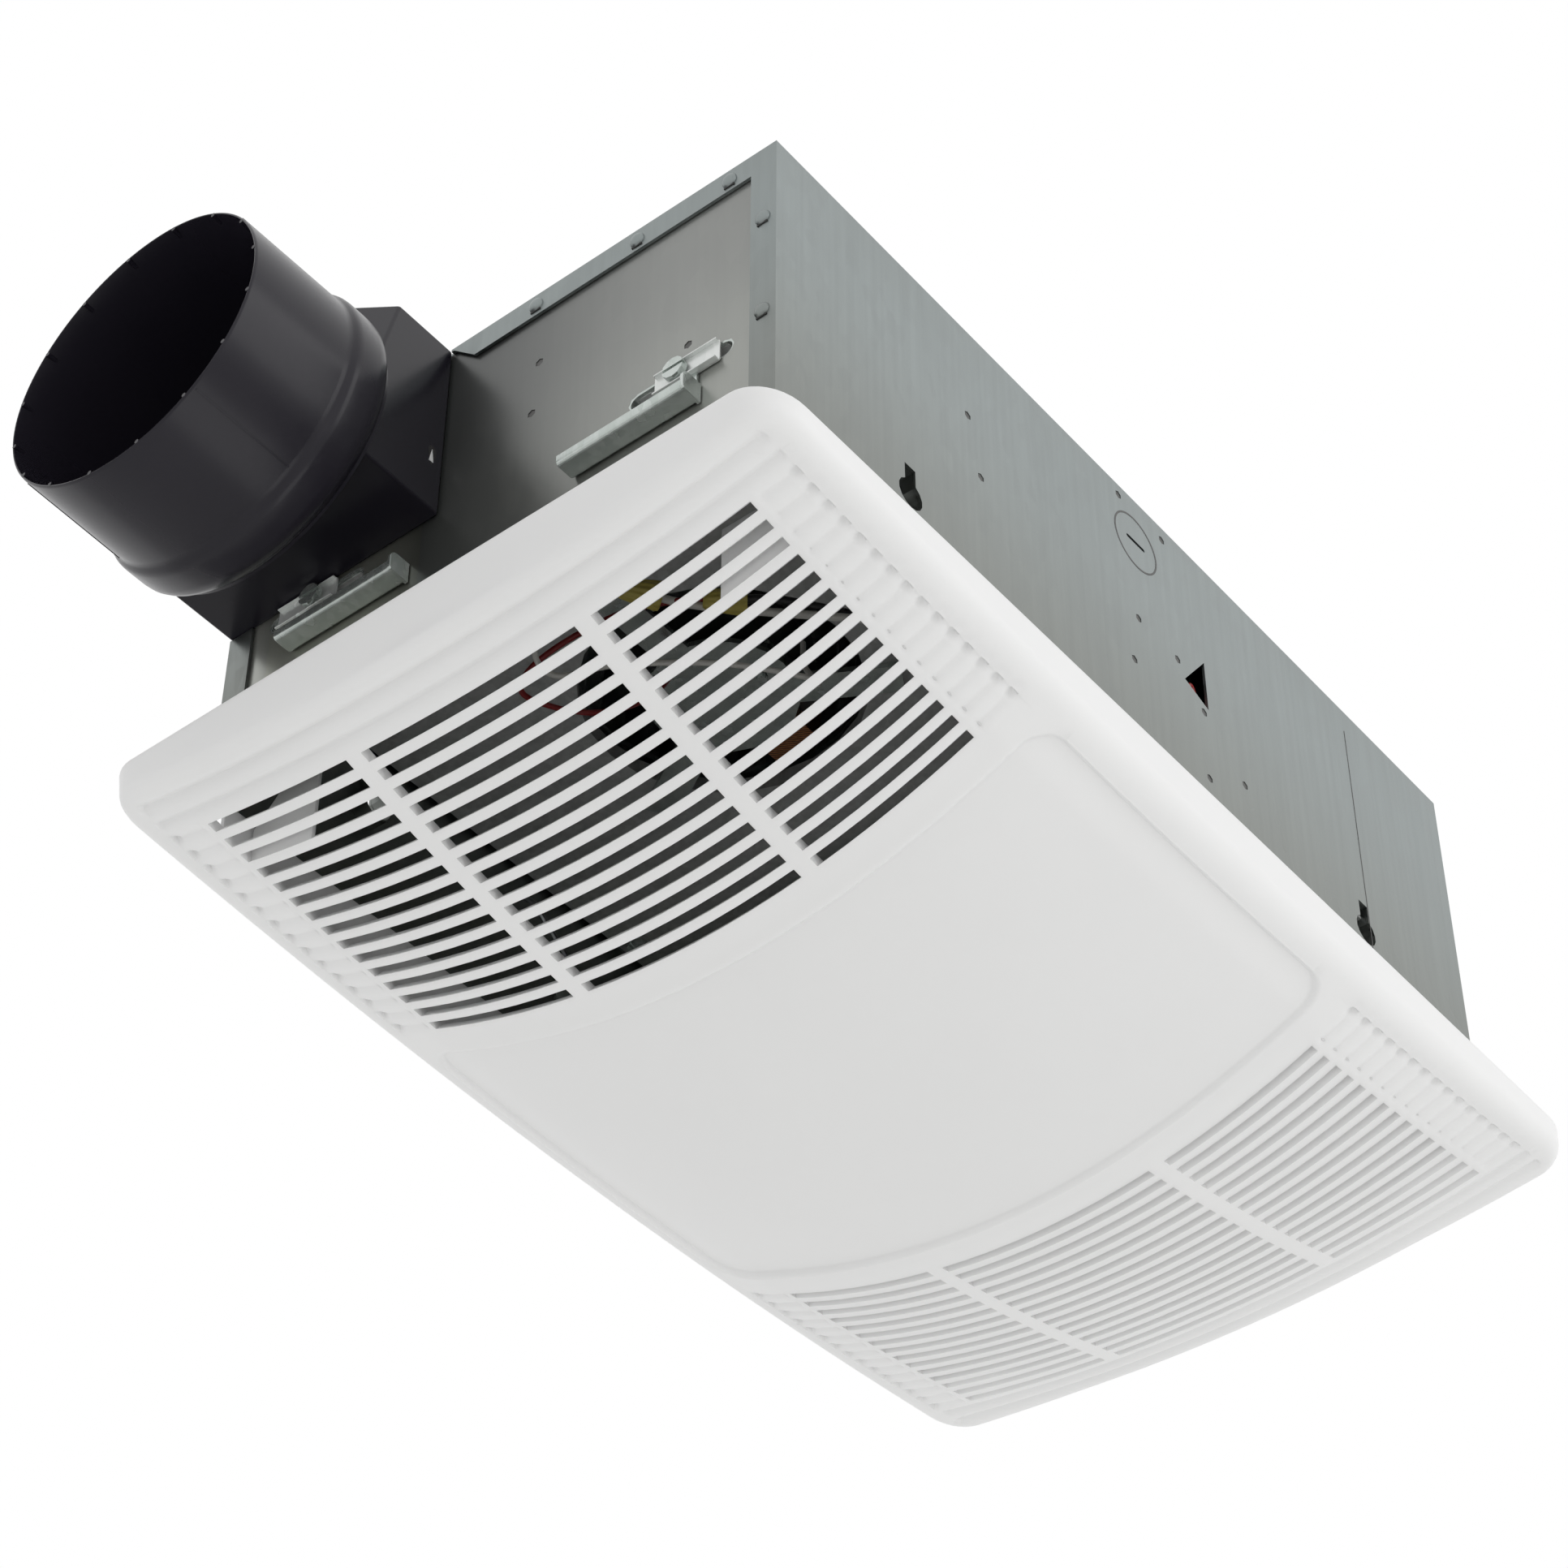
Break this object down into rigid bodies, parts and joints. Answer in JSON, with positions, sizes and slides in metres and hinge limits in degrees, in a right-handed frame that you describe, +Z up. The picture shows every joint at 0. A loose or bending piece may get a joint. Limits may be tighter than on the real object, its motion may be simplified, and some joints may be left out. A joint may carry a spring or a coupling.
{
  "type": "bathroom exhaust fan heater",
  "caption": "Ceiling exhaust fan with a fan-forced heater: steel housing, black round duct collar with damper, crowned white louvred grille on springs.",
  "frame": {"origin": "middle of the ceiling opening at the ceiling surface", "axes": "+Z up into the ceiling space, +X away from the duct along the long side, +Y to the side where the duct collar is"},
  "size_m": [0.4773, 0.25, 0.1943],
  "materials": {
    "galvanised_steel": "galvanised sheet, fine spangle",
    "inner_steel": "galvanised sheet",
    "zinc_steel": "bright zinc plate",
    "spring_steel": "drawn wire",
    "motor_laminations": "stacked electrical steel",
    "copper_winding": "enamelled copper wire",
    "element_ribbon": "dull resistance ribbon",
    "ceramic": "unglazed ceramic",
    "grille_white": "fine satin white",
    "duct_black": "satin black",
    "cutout_black": "moulded black",
    "wire_nut_yellow": "satin yellow",
    "black_wire": "insulated wire",
    "white_wire": "insulated wire",
    "red_wire": "insulated wire",
    "ground_green": "green screw"
  },
  "bodies": {
    "housing": {"housing_shell": "galvanised_steel", "duct_end_wall": "galvanised_steel", "heater_end_wall": "galvanised_steel", "wiring_knockout": "galvanised_steel", "wiring_box": "inner_steel", "divider_panel": "inner_steel", "duct_connector": "duct_black", "damper_pin": "spring_steel", "blower_plate": "inner_steel", "exhaust_scroll": "inner_steel", "motor_bracket": "zinc_steel", "exhaust_motor_core": "motor_laminations", "exhaust_motor_coil": "copper_winding", "exhaust_motor_upper_bridge": "zinc_steel", "exhaust_motor_lower_bridge": "zinc_steel", "heater_plate": "inner_steel", "heater_scroll": "inner_steel", "heater_motor_core": "motor_laminations", "heater_motor_coil": "copper_winding", "heater_motor_upper_bridge": "zinc_steel", "heater_motor_lower_bridge": "zinc_steel", "element_frame": "zinc_steel", "heating_element": "element_ribbon", "inner_element_insulator": "ceramic", "outer_element_insulator": "ceramic", "thermal_cutout": "cutout_black", "outlet_hood": "inner_steel", "front_blower_screw": "zinc_steel", "rear_blower_screw": "zinc_steel", "front_heater_screw": "zinc_steel", "rear_heater_screw": "zinc_steel", "ground_screw": "ground_green", "front_wire_nut": "wire_nut_yellow", "rear_wire_nut": "wire_nut_yellow", "black_lead": "black_wire", "white_lead": "white_wire", "red_lead": "red_wire", "front_spring_bracket": "zinc_steel", "rear_spring_bracket": "zinc_steel"},
    "exhaust_blower": {"exhaust_wheel": "inner_steel", "exhaust_motor_rotor": "motor_laminations"},
    "heater_blower": {"heater_wheel": "inner_steel", "heater_motor_rotor": "motor_laminations"},
    "damper": {"damper_flap": "duct_black"},
    "grille": {"grille": "grille_white", "front_spring_coil": "spring_steel", "rear_spring_coil": "spring_steel"},
    "front_spring_duct_arm": {"front_spring_duct_arm": "spring_steel"},
    "front_spring_heater_arm": {"front_spring_heater_arm": "spring_steel"},
    "rear_spring_duct_arm": {"rear_spring_duct_arm": "spring_steel"},
    "rear_spring_heater_arm": {"rear_spring_heater_arm": "spring_steel"},
    "duct_end_front_hanger": {"duct_end_front_hanger_channel": "zinc_steel", "duct_end_front_hanger_screw": "zinc_steel"},
    "duct_end_rear_hanger": {"duct_end_rear_hanger_channel": "zinc_steel", "duct_end_rear_hanger_screw": "zinc_steel"},
    "heater_end_front_hanger": {"heater_end_front_hanger_channel": "zinc_steel", "heater_end_front_hanger_screw": "zinc_steel"},
    "heater_end_rear_hanger": {"heater_end_rear_hanger_channel": "zinc_steel", "heater_end_rear_hanger_screw": "zinc_steel"}
  },
  "joints": [
    {"name": "exhaust_blower_spin", "type": "hinge", "parent": "housing", "child": "exhaust_blower", "pos_m": [-0.072, 0.002, 0.1], "axis": [0, 0, 1], "continuous": true},
    {"name": "heater_blower_spin", "type": "hinge", "parent": "housing", "child": "heater_blower", "pos_m": [0.11, 0, 0.088], "axis": [0, 1, 0], "continuous": true},
    {"name": "damper_swing", "type": "hinge", "parent": "housing", "child": "damper", "pos_m": [-0.1878, 0.0645, 0.1346], "axis": [0, 1, 0], "range_deg": [0, 50]},
    {"name": "grille_drop", "type": "slide", "parent": "housing", "child": "grille", "axis": [0, 0, -1], "range_m": [0, 0.05], "stiffness_N_per_m": 80, "springref_m": -0.1},
    {"name": "front_spring_duct_arm_swing", "type": "hinge", "parent": "grille", "child": "front_spring_duct_arm", "pos_m": [0, -0.09995, 0.001], "axis": [0, 1, 0], "range_deg": [0, 45]},
    {"name": "front_spring_heater_arm_swing", "type": "hinge", "parent": "grille", "child": "front_spring_heater_arm", "pos_m": [0, -0.09205, 0.001], "axis": [0, 1, 0], "range_deg": [-45, 0]},
    {"name": "rear_spring_duct_arm_swing", "type": "hinge", "parent": "grille", "child": "rear_spring_duct_arm", "pos_m": [0, 0.09205, 0.001], "axis": [0, 1, 0], "range_deg": [0, 45]},
    {"name": "rear_spring_heater_arm_swing", "type": "hinge", "parent": "grille", "child": "rear_spring_heater_arm", "pos_m": [0, 0.09995, 0.001], "axis": [0, 1, 0], "range_deg": [-45, 0]},
    {"name": "duct_end_front_hanger_slide", "type": "slide", "parent": "housing", "child": "duct_end_front_hanger", "axis": [0, 1, 0], "range_m": [-0.01, 0.01]},
    {"name": "duct_end_rear_hanger_slide", "type": "slide", "parent": "housing", "child": "duct_end_rear_hanger", "axis": [0, 1, 0], "range_m": [-0.01, 0.01]},
    {"name": "heater_end_front_hanger_slide", "type": "slide", "parent": "housing", "child": "heater_end_front_hanger", "axis": [0, 1, 0], "range_m": [-0.01, 0.01]},
    {"name": "heater_end_rear_hanger_slide", "type": "slide", "parent": "housing", "child": "heater_end_rear_hanger", "axis": [0, 1, 0], "range_m": [-0.01, 0.01]}
  ],
  "couplings": [
    {"joint": "front_spring_duct_arm_swing", "follows": "grille_drop", "rad_per_m": 15.7},
    {"joint": "front_spring_heater_arm_swing", "follows": "grille_drop", "rad_per_m": -15.7},
    {"joint": "rear_spring_duct_arm_swing", "follows": "grille_drop", "rad_per_m": 15.7},
    {"joint": "rear_spring_heater_arm_swing", "follows": "grille_drop", "rad_per_m": -15.7}
  ]
}
